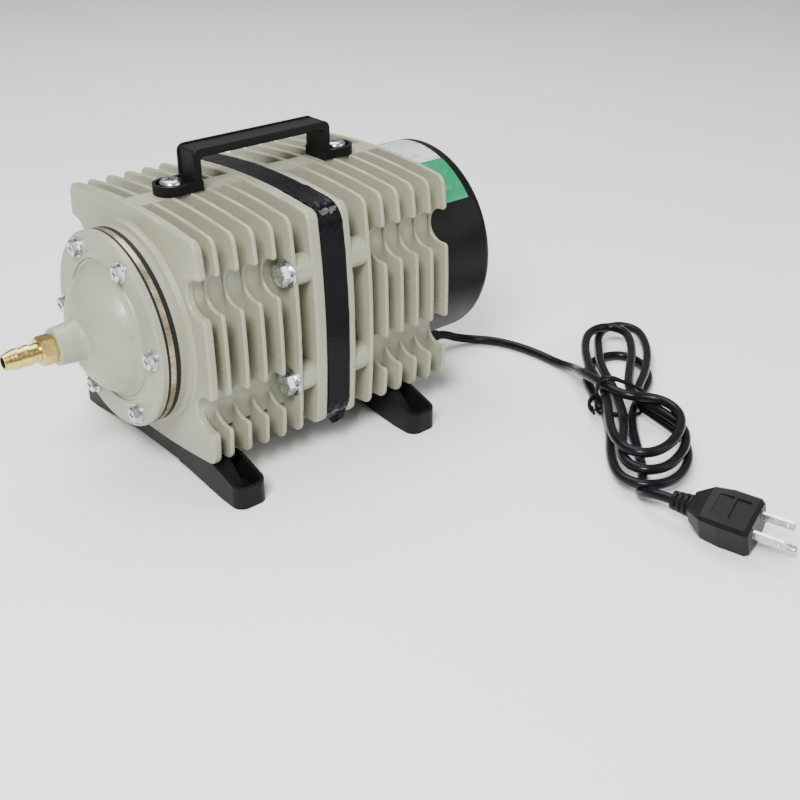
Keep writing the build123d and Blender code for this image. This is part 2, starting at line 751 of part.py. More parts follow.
def make_foot(station):
    """A moulded cross bar whose top follows the fins' tips, open pockets at both ends."""
    half = foot_width / 2
    ground = -axis_z
    floor = ground + foot_floor
    pocket_end = foot_half_length - foot_wall
    with BuildPart() as foot:
        with BuildSketch(across(station - half)):
            with BuildLine():
                Polyline((0, -60), (0, ground + arch_height + 1.2), (step_y, ground + arch_height + 1.2),
                         (step_y + 1.0, ground + arch_height), (34.0, ground + arch_height),
                         (pad_start, ground), (foot_half_length, ground), (foot_half_length, ground + 12.4),
                         (60.0, ground + 21.0), (60.0, -60), (0, -60))
            make_face()
            mirror(about=Plane.YZ)
            add(make_outline(-0.15), mode=Mode.SUBTRACT)
        extrude(amount=foot_width)
        ends = foot.edges().filter_by(Axis.Z).filter_by(lambda e: abs(e.center().Y) > foot_half_length - 1)
        fillet(ends, radius=6.5)
        for side in (-1, 1):
            # pocket for the shelf screw, with a ring round its hole
            with BuildSketch(level(station, side * (ramp_end + pocket_end) / 2, floor)):
                RectangleRounded(foot_width - 2 * foot_wall, pocket_end - ramp_end + 0.2, 4.5)
                with Locations((0, side * (ramp_end - pocket_end) / 4)):
                    Rectangle(foot_width - 2 * foot_wall, (pocket_end - ramp_end) / 2)
            extrude(amount=24.0, mode=Mode.SUBTRACT)
            with BuildSketch(level(station, side * anchor_y, floor - 0.5)):
                Circle(anchor_radius + 2.2)
            extrude(amount=1.9)
            with BuildSketch(level(station, side * anchor_y, ground)):
                Circle(anchor_radius)
            extrude(amount=foot_floor + 2.0, mode=Mode.SUBTRACT)
            # the ramp, and the deep gap beside it
            with BuildSketch(across(station - half + foot_wall)):
                with BuildLine():
                    Polyline((side * pocket_start, ground + 17.0), (side * ramp_end, floor + 1.0),
                             (side * (ramp_end + 0.5), floor + 1.0), (side * (ramp_end + 0.5), -50.0),
                             (side * pocket_start, -50.0), (side * pocket_start, ground + 17.0))
                make_face()
            extrude(amount=foot_width - 2 * foot_wall, mode=Mode.SUBTRACT)
            with BuildSketch(level(station + half - foot_wall - ramp_gap / 2,
                                   side * (pocket_start + ramp_end + 0.5) / 2, floor)):
                Rectangle(ramp_gap, ramp_end + 0.5 - pocket_start)
            extrude(amount=24.0, mode=Mode.SUBTRACT)
            # counterbored hole for the screw into the housing
            with BuildSketch(level(station, side * foot_screw_y, ground)):
                Circle(5.6)
            extrude(amount=10.0, mode=Mode.SUBTRACT)
            with BuildSketch(level(station, side * foot_screw_y, ground)):
                Circle(2.7)
            extrude(amount=22.0, mode=Mode.SUBTRACT)
    return foot.part


with BuildPart() as front_foot:
    add(make_foot(foot_stations["front_foot"]))
front_foot.part.label = "front_foot"
export_step(front_foot.part, "parts/front_foot.step")

with BuildPart() as rear_foot:
    add(make_foot(foot_stations["rear_foot"]))
rear_foot.part.label = "rear_foot"
export_step(rear_foot.part, "parts/rear_foot.step")

foot_screw = make_screw(2.45, 19.0, ("pan", 4.8, 3.4), 1.6)
with BuildPart() as foot_screws:
    for station in foot_stations.values():
        for y in (-foot_screw_y, foot_screw_y):
            seat = Plane(origin=point(station, y, 10.0 - axis_z), x_dir=(1, 0, 0), z_dir=(0, 0, -1))
            add(foot_screw.moved(seat.location))
foot_screws.part.label = "foot_screws"
export_step(foot_screws.part, "parts/foot_screws.step")

# ---------------------------------------------------------------- handle
handle_start = handle_middle - handle_length / 2
handle_end = handle_middle + handle_length / 2
tab_base = 3.0
tab_rim = 5.6
channel_width = 13.8
channel_depth = 0.9
handle_side = Plane(origin=(front_x, handle_width / 2, axis_z), x_dir=(1, 0, 0), z_dir=(0, -1, 0))
with BuildPart() as handle:
    with BuildSketch(handle_side):
        with BuildLine():
            Polyline((handle_start, crown_height), (handle_start, handle_top), (handle_end, handle_top),
                     (handle_end, crown_height), (handle_end - handle_thickness, crown_height),
                     (handle_end - handle_thickness, handle_top - handle_thickness),
                     (handle_start + handle_thickness, handle_top - handle_thickness),
                     (handle_start + handle_thickness, crown_height), (handle_start, crown_height))
        make_face()
    extrude(amount=handle_width)
    top_corners = handle.edges().filter_by(Axis.Y).group_by(Axis.Z)[-1]
    fillet(top_corners, radius=4.5)
    under_corners = handle.edges().filter_by(Axis.Y).filter_by(
        lambda e: abs(e.center().Z - axis_z - handle_top + handle_thickness) < 0.1)
    fillet(under_corners, radius=2.0)
    long_edges = handle.faces().filter_by(Axis.Y).edges()
    fillet(long_edges, radius=0.9)
    for leg, screw_station in zip((handle_start, handle_end), handle_screw_stations):
        sign = 1 if leg > handle_middle else -1
        middle = (leg + screw_station) / 2 - sign * handle_thickness / 2
        length = abs(leg - screw_station) + handle_thickness
        with BuildSketch(level(0, 0, crown_height)):
            with Locations((screw_station, 0)):
                Circle(tab_radius)
            with Locations((middle, 0)):
                Rectangle(length, 2 * tab_radius - 2.0)
        extrude(amount=tab_rim)
        with BuildSketch(level(0, 0, crown_height + tab_base)):
            with Locations((screw_station, 0)):
                Circle(tab_radius - 1.8)
            with Locations(((leg + screw_station) / 2 + sign * 0.2, 0)):
                Rectangle(abs(leg - screw_station) + 0.4, 2 * tab_radius - 5.6)
        extrude(amount=tab_rim, mode=Mode.SUBTRACT)
        with BuildSketch(level(screw_station, 0, crown_height)):
            Circle(3.3)
        extrude(amount=tab_base, mode=Mode.SUBTRACT)
    # shallow channel along the top and down the legs, with a raised rim on either side
    channel_side = Plane(origin=(front_x, channel_width / 2, axis_z), x_dir=(1, 0, 0), z_dir=(0, -1, 0))
    with BuildSketch(channel_side):
        with Locations((handle_middle, crown_height + tab_rim + 1.4)):
            Rectangle(handle_length + 8, 30.0, align=(Align.CENTER, Align.MIN))
        with Locations((handle_middle, handle_top - channel_depth)):
            Rectangle(handle_length - 2 * channel_depth, 40.0, align=(Align.CENTER, Align.MAX),
                      mode=Mode.SUBTRACT)
    extrude(amount=channel_width, mode=Mode.SUBTRACT)
handle.part.label = "handle"
export_step(handle.part, "parts/handle.step")

handle_screw = make_screw(2.95, 16.0, ("pan", 6.6, 4.4), 2.0)
with BuildPart() as handle_screws:
    for station in handle_screw_stations:
        add(handle_screw.moved(level(station, 0, crown_height + tab_base).location))
handle_screws.part.label = "handle_screws"
export_step(handle_screws.part, "parts/handle_screws.step")

# ---------------------------------------------------------------- rear cap with its filter
hood_end = 200.0
hood_y = -8.0
gland_z = -70.0
gland_start = point(hood_end - 6.0, hood_y, gland_z)
gland_direction = Vector(0.985, -0.03, -0.17).normalized()
gland_length = 30.0
gland_plane = Plane(origin=gland_start, z_dir=gland_direction)
with BuildPart() as rear_cap:
    with BuildSketch(across(rear_end)):
        Circle(cap_radius)
    extrude(amount=cap_end - rear_end)
    fillet(rear_cap.faces().sort_by(Axis.X)[-1].edges(), radius=6.0)
    # cable hood under the cap
    with BuildSketch(Plane.XZ.offset(-hood_y - 9.0)):
        with BuildLine():
            Polyline((front_x + 178.0, axis_z - 60.0), (front_x + 190.0, axis_z - 77.5),
                     (front_x + hood_end, axis_z - 77.5), (front_x + hood_end, axis_z - 60.0),
                     (front_x + 178.0, axis_z - 60.0))
        make_face()
    extrude(amount=18.0)
    # hollow inside
    with BuildSketch(across(rear_end)):
        Circle(cap_radius - cap_wall)
    extrude(amount=cap_end - cap_wall - rear_end, mode=Mode.SUBTRACT)
    with BuildSketch(Plane.XZ.offset(-hood_y - 6.6)):
        with BuildLine():
            Polyline((front_x + 182.4, axis_z - 60.0), (front_x + 191.4, axis_z - 75.1),
                     (front_x + hood_end - 2.4, axis_z - 75.1), (front_x + hood_end - 2.4, axis_z - 60.0),
                     (front_x + 182.4, axis_z - 60.0))
        make_face()
    extrude(amount=13.2, mode=Mode.SUBTRACT)
    with BuildSketch(gland_plane):
        Circle(4.3)
    extrude(amount=12.0, mode=Mode.SUBTRACT)
    with BuildSketch(gland_plane.offset(5.4)):
        Circle(6.6)
    extrude(amount=6.0, mode=Mode.SUBTRACT)
    # columns for the long cap screws
    with BuildSketch(across(rear_end)):
        with Locations(*cap_screw_places):
            Circle(5.0)
    extrude(amount=cap_end - rear_end - 1.0)
    with BuildSketch(across(rear_end)):
        with Locations(*cap_screw_places):
            Circle(2.2)
    extrude(amount=cap_end - rear_end, mode=Mode.SUBTRACT)
    with BuildSketch(across(cap_end)):
        with Locations(*cap_screw_places):
            Circle(4.3)
    extrude(amount=-2.2, mode=Mode.SUBTRACT)
    # intake slots
    with BuildSketch(across(cap_end)):
        for row in range(-4, 5):
            with Locations((0, row * 7.5)):
                SlotOverall(2 * (36.0 ** 2 - (row * 7.5) ** 2) ** 0.5 + 14.0, 3.4)
    extrude(amount=-cap_wall - 0.5, mode=Mode.SUBTRACT)
rear_cap.part.label = "rear_cap"
export_step(rear_cap.part, "parts/rear_cap.step")

cap_screw = make_screw(1.95, cap_end - rear_end + 8.0, ("pan", 3.9, 2.2), 1.0)
with BuildPart() as rear_cap_screws:
    for y, z in cap_screw_places:
        add(cap_screw.moved(across(cap_end - 2.2, y, z).location))
rear_cap_screws.part.label = "rear_cap_screws"
export_step(rear_cap_screws.part, "parts/rear_cap_screws.step")

filter_front = 205.0
filter_back = cap_end - cap_wall - 0.3
with BuildPart() as air_filter:
    with BuildSketch(across(filter_front)):
        Circle(47.0)
    extrude(amount=filter_back - filter_front)
air_filter.part.label = "air_filter"
export_step(air_filter.part, "parts/air_filter.step")

with BuildPart() as filter_screen:
    with BuildSketch(across(filter_front - 1.3)):
        Circle(47.0)
        with GridLocations(9.0, 9.0, 9, 9):
            Rectangle(6.0, 6.0, mode=Mode.SUBTRACT)
        Circle(47.0)
        Circle(42.0, mode=Mode.SUBTRACT)
        with GridLocations(9.0, 9.0, 8, 8):
            Circle(1.0)
        with GridLocations(84.0, 9.0, 1, 8):
            Rectangle(86.0, 2.4)
        with GridLocations(9.0, 84.0, 8, 1):
            Rectangle(2.4, 86.0)
    extrude(amount=1.2)
filter_screen.part.label = "filter_screen"
export_step(filter_screen.part, "parts/filter_screen.step")

# ---------------------------------------------------------------- electrics on the rear wall
with BuildPart() as terminal_block:
    with BuildSketch(across(web[1] + 0.05, 0, -34.0)):
        Rectangle(34.0, 13.0)
    extrude(amount=13.0)
    fillet(terminal_block.edges().filter_by(Axis.X), radius=1.2)
    with BuildSketch(across(web[1] + 13.05, 0, -34.0)):
        with GridLocations(10.0, 1.0, 3, 1):
            Circle(2.6)
    extrude(amount=-6.0, mode=Mode.SUBTRACT)
terminal_block.part.label = "terminal_block"
export_step(terminal_block.part, "parts/terminal_block.step")

with BuildPart() as terminal_screws:
    for y in (-10.0, 0.0, 10.0):
        with BuildSketch(across(web[1] + 7.2, y, -34.0)):
            Circle(2.3)
            Rectangle(3.6, 0.6, mode=Mode.SUBTRACT)
        extrude(amount=3.0)
terminal_screws.part.label = "terminal_screws"
export_step(terminal_screws.part, "parts/terminal_screws.step")

with BuildPart() as rectifier:
    with BuildSketch(across(web[1] + 0.05, 0, 34.0)):
        RectangleRounded(24.0, 13.0, 2.0)
    extrude(amount=9.0)
rectifier.part.label = "rectifier"
export_step(rectifier.part, "parts/rectifier.step")

with BuildPart() as earth_screw:
    with BuildSketch(across(web[1] + 0.05, -26.0, -6.0)):
        Circle(3.6)
    extrude(amount=2.4)
earth_screw.part.label = "earth_screw"
export_step(earth_screw.part, "parts/earth_screw.step")


# ---------------------------------------------------------------- tubes along a route
def route_radii(points):
    """The largest tangent arc at each corner: 0.45 of the shorter run, over the tangent of half the turn."""
    radii = []
    for before, corner, after in zip(points, points[1:], points[2:]):
        first = Vector(*corner) - Vector(*before)
        second = Vector(*after) - Vector(*corner)
        half_turn = radians(first.get_angle(second)) / 2
        radii.append(0.45 * min(first.length, second.length) / tan(half_turn))
    return radii


def make_tube(points, radius, radii=None):
    with BuildPart() as tube:
        with BuildLine() as line:
            FilletPolyline(*points, radius=radii or route_radii(points))
        with BuildSketch(Plane(origin=line.line @ 0, z_dir=line.line % 0)):
            Circle(radius)
        sweep(path=line.line)
    return tube.part


lead_radius = 1.1
with BuildPart() as internal_leads:
    for side in (-1, 1):
        add(make_tube([point(104.6, side * 34.0, -2.0), point(145.0, side * 34.0, -2.0),
                       point(150.0, side * 28.0, -14.0), point(150.0, side * 22.0, -30.0),
                       point(150.0, side * 17.9, -34.0)], lead_radius))
    for y in (-10.0, 0.0, 10.0):
        add(make_tube([point(155.2, y, -38.6), point(170.0, y, -38.6), point(185.0, 0.3 * y - 5.6, -52.0),
                       point(192.6, 0.27 * y - 8.0, -66.0)], lead_radius))
internal_leads.part.label = "internal_leads"
export_step(internal_leads.part, "parts/internal_leads.step")

# ---------------------------------------------------------------- labels
label_thickness = 0.15


def make_label(start, end, first_angle, last_angle):
    """A thin patch on the cap's round side. Angles are from +Y towards +Z."""
    inner = cap_radius + 0.02
    with BuildPart() as label:
        with BuildSketch(across(start)):
            with BuildLine():
                arc = CenterArc((0, 0), inner, first_angle, last_angle - first_angle)
                outer_arc = CenterArc((0, 0), inner + label_thickness, first_angle, last_angle - first_angle)
                Line(arc @ 0, outer_arc @ 0)
                Line(arc @ 1, outer_arc @ 1)
            make_face()
        extrude(amount=end - start)
    return label.part


label_edge = 209.5
with BuildPart() as rating_label:
    add(make_label(176.5, label_edge, 58.0, 112.5))
rating_label.part.label = "rating_label"
export_step(rating_label.part, "parts/rating_label.step")

with BuildPart() as green_label:
    add(make_label(176.5, label_edge + 0.5, 112.8, 141.5))
green_label.part.label = "green_label"
export_step(green_label.part, "parts/green_label.step")

# ---------------------------------------------------------------- mains cord
cord_radius = cord_diameter / 2
with BuildPart() as cord_gland:
    with BuildSketch(gland_plane):
        Circle(4.2)
    extrude(amount=8.0)
    with BuildSketch(gland_plane.offset(5.5)):
        Circle(6.2)
    extrude(amount=3.5)
    with BuildSketch(gland_plane.offset(9.0)):
        Circle(5.4)
    with BuildSketch(gland_plane.offset(gland_length)):
        Circle(3.7)
    loft()
    for i in range(4):
        with BuildSketch(gland_plane.offset(13.0 + 4.2 * i)):
            Circle(7.0)
            Circle(4.3 - 0.22 * i, mode=Mode.SUBTRACT)
        extrude(amount=1.5, mode=Mode.SUBTRACT)
cord_gland.part.label = "cord_gland"
export_step(cord_gland.part, "parts/cord_gland.step")

gland_end = gland_start + gland_direction * gland_length
floor_cord_z = -axis_z + cord_radius + 0.2
cord_route = [
    gland_end,
    gland_end + gland_direction * 7.0,
    point(238.5, -12.0, -80.4),
    point(248.5, -17.5, floor_cord_z),
    point(257.5, -27.5, floor_cord_z),
    point(264.0, -42.0, floor_cord_z),
    point(267.5, -62.0, floor_cord_z),
    point(267.0, -85.0, floor_cord_z),
    point(264.5, -106.0, floor_cord_z + 1.0),
    point(260.0, -124.0, floor_cord_z + 5.0),
]
cord_radii = route_radii(cord_route)
print("cord radii", [round(r, 1) for r in cord_radii])
with BuildPart() as power_cord:
    add(make_tube(cord_route, cord_radius, cord_radii))
power_cord.part.label = "power_cord"
export_step(power_cord.part, "parts/power_cord.step")
run_total = sum((b - a).length for a, b in zip(cord_route, cord_route[1:]))
print("power_cord volume/section", power_cord.part.volume / (pi * cord_radius ** 2), "runs", run_total)

# The hank lies on the floor, tied at its waist. Its plane's x runs from the far loops to the near ones.
hank_middle = point(241.7, -154.5, -axis_z)
hank_along = Vector(-0.745, -0.667, 0).normalized()
hank_plane = Plane(origin=hank_middle, x_dir=hank_along, z_dir=(0, 0, 1))
hank_height = 24.0
tail_height = 13.8
plug_direction = Vector(0.225, -0.974, 0).normalized()
plug_start = point(175.6, -250.6, tail_height - axis_z)
tail_length = 20.0
with BuildPart() as cord_tail:
    with BuildSketch(Plane(origin=plug_start, z_dir=plug_direction)):
        Circle(cord_radius)
    extrude(amount=-tail_length)
cord_tail.part.label = "cord_tail"
export_step(cord_tail.part, "parts/cord_tail.step")

with BuildPart() as hank_shape:
    with BuildSketch(hank_plane):
        with BuildLine():
            Spline((-118.0, 5.0), (-92.0, -17.5), (-50.0, -19.0), (-8.0, -10.0), (30.0, -5.0),
                   (74.0, -5.0), (105.0, 14.0), (88.0, 37.0), (44.0, 44.0), (10.0, 33.0), (-22.0, 25.0),
                   (-60.0, 27.5), (-98.0, 24.0), periodic=True)
        make_face()
    extrude(amount=hank_height)
    fillet(hank_shape.faces().sort_by(Axis.Z)[-1].edges(), radius=4.0)

# The wire tie sits in a groove round the waist, with its twisted end standing out to the side.
tie_station = -5.0
tie_plane = Plane(origin=hank_middle, x_dir=hank_plane.y_dir, z_dir=hank_along)
tie_middle = (9.5, hank_height / 2)
with BuildPart() as tie_ring:
    with BuildSketch(tie_plane.offset(tie_station)):
        Rectangle(200.0, 100.0)
        with Locations(tie_middle):
            RectangleRounded(36.0, hank_height - 2.8, 6.0, mode=Mode.SUBTRACT)
    extrude(amount=1.8)
    add(hank_shape.part, mode=Mode.INTERSECT)

with BuildPart() as cord_hank:
    add(hank_shape.part)
    add(tie_ring.part, mode=Mode.SUBTRACT)
    add(power_cord.part, mode=Mode.SUBTRACT)
    add(cord_tail.part, mode=Mode.SUBTRACT)
cord_hank.part.label = "cord_hank"
export_step(cord_hank.part, "parts/cord_hank.step")

tie_end = hank_plane.from_local_coords(Vector(tie_station + 0.9, -9.4, 14.0))
tie_end_direction = (hank_plane.y_dir * -0.86 + hank_along * 0.45 + Vector(0, 0, 0.2)).normalized()
with BuildPart() as cord_tie:
    add(tie_ring.part)
    with BuildSketch(Plane(origin=tie_end, z_dir=tie_end_direction)):
        Circle(1.5)
    extrude(amount=15.0)
    add(cord_hank.part, mode=Mode.SUBTRACT)
cord_tie.part.label = "cord_tie"
export_step(cord_tie.part, "parts/cord_tie.step")

# ---------------------------------------------------------------- plug, two flat blades and a round earth pin
plug_roll = radians(24.0)  # it lies on the slanting lower side, with its top turned towards -X
plug_across = Vector(0, 0, 1).cross(plug_direction) * cos(plug_roll) + Vector(0, 0, 1) * sin(plug_roll)
plug_plane = Plane(origin=plug_start, x_dir=plug_across, z_dir=plug_direction)
relief_length = 11.5
body_length = 36.0
blade_spacing = 12.7
blade_rise = 3.9  # blades above the middle of the face, and the earth pin 11.9 below them
pin_drop = 8.0
seat_depth = 6.0
face_at = relief_length + body_length
with BuildPart() as plug_blades:
    with BuildSketch(plug_plane.offset(face_at - seat_depth)):
        with Locations((-blade_spacing / 2, blade_rise), (blade_spacing / 2, blade_rise)):
            Rectangle(1.5, 6.3)
    extrude(amount=seat_depth + 17.9)
    tips = plug_blades.faces().sort_by(Axis(plug_start, plug_direction))[-2:].edges()
    chamfer(tips.filter_by(lambda e: e.length < 2.0), length=1.0)
    blade_side = Plane(origin=plug_plane.from_local_coords(Vector(-20, blade_rise, face_at + 13.6)),
                       x_dir=plug_direction, z_dir=plug_plane.x_dir)
    with BuildSketch(blade_side):
        Circle(1.6)
    extrude(amount=40.0, mode=Mode.SUBTRACT)
plug_blades.part.label = "plug_blades"
export_step(plug_blades.part, "parts/plug_blades.step")

with BuildPart() as ground_pin:
    with BuildSketch(plug_plane.offset(face_at - seat_depth)):
        with Locations((0, -pin_drop)):
            Circle(2.4)
    extrude(amount=seat_depth + 21.4)
    fillet(ground_pin.faces().sort_by(Axis(plug_start, plug_direction))[-1].edges(), radius=1.8)
ground_pin.part.label = "ground_pin"
export_step(ground_pin.part, "parts/ground_pin.step")

# the body's cross-sections: place along it, width, top, lower end of the sides, and bottom
plug_sections = [(0.0, 13.5, 6.2, -4.6, -6.8), (8.5, 23.5, 9.8, -8.0, -12.2), (19.0, 26.0, 11.0, -9.0, -13.45),
                 (33.6, 26.0, 11.0, -9.0, -13.45), (body_length, 23.0, 9.6, -8.2, -12.0)]


def make_plug_shell():
    """Lofted runs with a flat top, bevelled edges, upright sides, and a keel-like side round the earth pin."""
    with BuildPart() as shell:
        for run in zip(plug_sections, plug_sections[1:]):
            for place, width, top, low, bottom in run:
                half = width / 2
                keel = 0.115 * width
                corner = 0.075 * width
                with BuildSketch(plug_plane.offset(relief_length + place)):
                    with BuildLine():
                        Polyline((-half, top - corner), (corner - half, top), (half - corner, top),
                                 (half, top - corner), (half, low), (keel, bottom), (-keel, bottom),
                                 (-half, low), (-half, top - corner))
                    make_face()
            loft(ruled=True)
    return shell.part


plug_shell = make_plug_shell()
with BuildPart() as plug_body:
    with BuildSketch(plug_plane):
        Circle(5.2)
    with BuildSketch(plug_plane.offset(relief_length)):
        Circle(6.6)
    loft()
    for i in range(3):
        with BuildSketch(plug_plane.offset(2.4 + 3.3 * i)):
            Circle(9.0)
            Circle(3.9 + 0.5 * i, mode=Mode.SUBTRACT)
        extrude(amount=1.2, mode=Mode.SUBTRACT)
    add(plug_shell)
    # panels pressed into the upper side, with a rib between them, and fine ridges by the relief
    panel_plane = Plane(origin=plug_plane.from_local_coords(Vector(0, plug_sections[2][2], relief_length + 22.0)),
                        x_dir=plug_plane.x_dir, z_dir=plug_plane.y_dir)
    with BuildSketch(panel_plane):
        with GridLocations(1.0, 9.6, 1, 2):
            RectangleRounded(14.5, 8.2, 1.0)
    extrude(amount=-1.0, mode=Mode.SUBTRACT)
    add(plug_blades.part, mode=Mode.SUBTRACT)
    add(ground_pin.part, mode=Mode.SUBTRACT)
plug_body.part.label = "plug_body"
export_step(plug_body.part, "parts/plug_body.step")
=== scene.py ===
import json
import math

import bpy
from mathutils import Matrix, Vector, noise


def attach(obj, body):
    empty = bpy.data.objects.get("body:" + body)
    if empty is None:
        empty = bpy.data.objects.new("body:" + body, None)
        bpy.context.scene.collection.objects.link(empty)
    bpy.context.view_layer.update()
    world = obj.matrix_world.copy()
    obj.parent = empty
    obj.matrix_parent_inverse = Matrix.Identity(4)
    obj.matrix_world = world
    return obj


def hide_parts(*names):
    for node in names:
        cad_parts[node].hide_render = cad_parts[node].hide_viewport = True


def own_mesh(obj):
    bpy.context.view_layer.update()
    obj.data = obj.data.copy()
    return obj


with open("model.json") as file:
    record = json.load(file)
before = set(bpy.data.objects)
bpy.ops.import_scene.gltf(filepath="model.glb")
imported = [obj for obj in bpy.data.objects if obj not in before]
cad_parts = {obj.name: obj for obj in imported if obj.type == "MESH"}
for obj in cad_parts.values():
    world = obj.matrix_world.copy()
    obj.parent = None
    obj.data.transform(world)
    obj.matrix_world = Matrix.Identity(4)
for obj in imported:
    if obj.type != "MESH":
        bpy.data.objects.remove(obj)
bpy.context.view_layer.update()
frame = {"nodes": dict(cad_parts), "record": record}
nodes = frame["nodes"]
MM = 0.001

# ------------------------------------------------------------------ dimensions the CAD part uses, in mm
FRONT_X = -69.0  # the front flange's front face; a station is a distance behind it
AXIS_Z = 86.0
CORD_RADIUS = 3.0
HANK_MIDDLE = (241.7, -154.5)
HANK_ALONG = Vector((-0.745, -0.667, 0)).normalized()
HANK_ACROSS = Vector((0.667, -0.745, 0)).normalized()
PLUG_DIRECTION = Vector((0.225, -0.974, 0)).normalized()
PLUG_START = (175.6, -250.6, 13.8)


def at(station, y, z):
    """A point from its station, its y and its height above the floor, in metres."""
    return Vector((FRONT_X + station, y, z)) * MM


# ------------------------------------------------------------------ camera
camera_data = bpy.data.cameras.new("camera")
camera_data.sensor_width = 36.0
camera_data.lens = 52.57
camera = bpy.data.objects.new("camera", camera_data)
camera.location = (-0.3534, -0.5554, 0.3641)
camera.rotation_euler = (math.radians(61.48), 0.0, math.radians(-40.895))
bpy.context.scene.collection.objects.link(camera)
bpy.context.scene.camera = camera


def link(obj):
    bpy.context.scene.collection.objects.link(obj)
    return obj


# ------------------------------------------------------------------ mains cord, gland to plug
gland_start = at(194.0, -8.0, AXIS_Z - 70.0)
gland_direction = Vector((0.985, -0.03, -0.17)).normalized()
gland_end = gland_start + gland_direction * 30 * MM
FLOOR_CORD = CORD_RADIUS + 0.2


def hank_point(along, over, z):
    """A point from its place along and across the hank, and its height, in mm."""
    x = HANK_MIDDLE[0] + along * HANK_ALONG.x + over * HANK_ACROSS.x
    y = HANK_MIDDLE[1] + along * HANK_ALONG.y + over * HANK_ACROSS.y
    return at(x, y, z)


route = [
    gland_end,
    gland_end + gland_direction * 7 * MM,
    at(238.5, -12.0, 5.6),
    at(248.5, -17.5, FLOOR_CORD),
    at(257.5, -27.5, FLOOR_CORD),
    at(264.0, -42.0, FLOOR_CORD),
    at(267.5, -62.0, FLOOR_CORD),
    at(267.0, -85.0, FLOOR_CORD),
    at(262.5, -103.0, FLOOR_CORD + 5.0),
]


# the hank, from its top layer down: places along and across it, and heights, in mm
HANK_RUNS = [
    # the small near loop on top, and back through the waist
    ((-30, -20.5, 15.5), (-14, -13.5, 19.8), (-1, -7.5, 22.3), (8, -1, 23.0), (12.5, 7, 22.6),
     (12, 16, 22.2), (13, 26, 21.8), (20, 34, 21.2), (32, 38, 20.8), (49, 36, 20.5),
     (63, 30, 20.2), (73, 22, 20.0), (77, 13, 20.0), (73, 4, 19.8), (62, -1.5, 19.4),
     (50, -4, 18.9), (36, -5, 18.0), (16, -5, 17.0)),
    # the upper far loop
    ((-4, -6, 16.2), (-26, -13, 16.0), (-48, -17, 15.6), (-71, -18, 15.0), (-90, -16, 14.6),
     (-101, -10, 14.4), (-106, -1, 14.4), (-102, 8, 14.4), (-91, 13, 14.6), (-66, 14, 14.9),
     (-30, 10, 15.4), (-12, 9, 15.8)),
    # the upper near loop
    ((4, 14, 16.0), (16, 27, 15.8), (34, 40, 15.0), (54, 40, 14.4), (71, 33, 14.0),
     (82, 25, 14.2), (86, 14, 14.2), (80, 5, 14.2), (66, 1, 14.0), (44, 4, 13.4), (24, 5, 11.8)),
    # the lower far loop
    ((2, 4, 9.9), (-24, 0, 9.6), (-52, -7, 9.2), (-80, -8, 8.6), (-101, -8, 8.2), (-116, -3, 8.0),
     (-123, 6, 8.0), (-121, 16, 8.0), (-110, 23, 8.2), (-80, 26, 8.8), (-46, 22, 9.2),
     (-22, 15.5, 9.6)),
    # the lower near loop
    ((-2, 14.5, 9.6), (14, 26, 9.4), (34, 40, 8.8), (57, 42, 8.4), (76, 37, 8.8), (88, 29, 9.4),
     (94, 19, 9.8), (93, 8, 9.6), (83, -1, 8.8), (62, -4, 7.8), (34, -3, 5.4), (14, -3.5, 4.2)),
    # the last far loop, and the last run under the near loops to the plug
    ((-6, -6, 3.5), (-26, -13, 3.3), (-48, -17, 3.3), (-70, -13, 3.3), (-83, 0, 3.3),
     (-83, 13, 3.3), (-70, 23, 3.3), (-50, 26, 3.3), (-28, 20, 3.3), (-8, 13, 3.3), (16, 11, 3.3),
     (42, 13, 3.3), (66, 15, 3.3), (84, 14, 3.3), (97, 11.5, 5.2)),
]
for run in HANK_RUNS:
    route += [hank_point(*place) for place in run]
plug_start = at(*PLUG_START)
route += [plug_start - PLUG_DIRECTION * 12 * MM, plug_start]

curve = bpy.data.curves.new("mains_cord", "CURVE")
curve.dimensions = "3D"
spline = curve.splines.new("NURBS")
spline.points.add(len(route) - 1)
for point, place in zip(spline.points, route):
    point.co = (*place, 1.0)
    point.radius = CORD_RADIUS * MM
spline.order_u = 3
spline.use_endpoint_u = True
spline.resolution_u = 8
curve.bevel_depth = 1.0  # times each point's radius
curve.bevel_resolution = 6
mains_cord = link(bpy.data.objects.new("mains_cord", curve))
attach(mains_cord, "pump")
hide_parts("power_cord", "cord_hank", "cord_tail")


# ------------------------------------------------------------------ the wire tie round the hank's waist
def round_tube(name, runs, radius, node):
    """Wires of one thickness along smooth runs of points, as one piece that stands in for a CAD node."""
    data = bpy.data.curves.new(name, "CURVE")
    data.dimensions = "3D"
    data.bevel_depth = 1.0
    data.bevel_resolution = 3
    for points, closed in runs:
        line = data.splines.new("NURBS")
        line.points.add(len(points) - 1)
        for spot, place in zip(line.points, points):
            spot.co = (*place, 1.0)
            spot.radius = radius
        line.order_u = 3
        line.use_cyclic_u = closed
        line.use_endpoint_u = not closed
        line.resolution_u = 5
    piece = link(bpy.data.objects.new(name, data))
    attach(piece, "pump")
    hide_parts(node)
    return piece


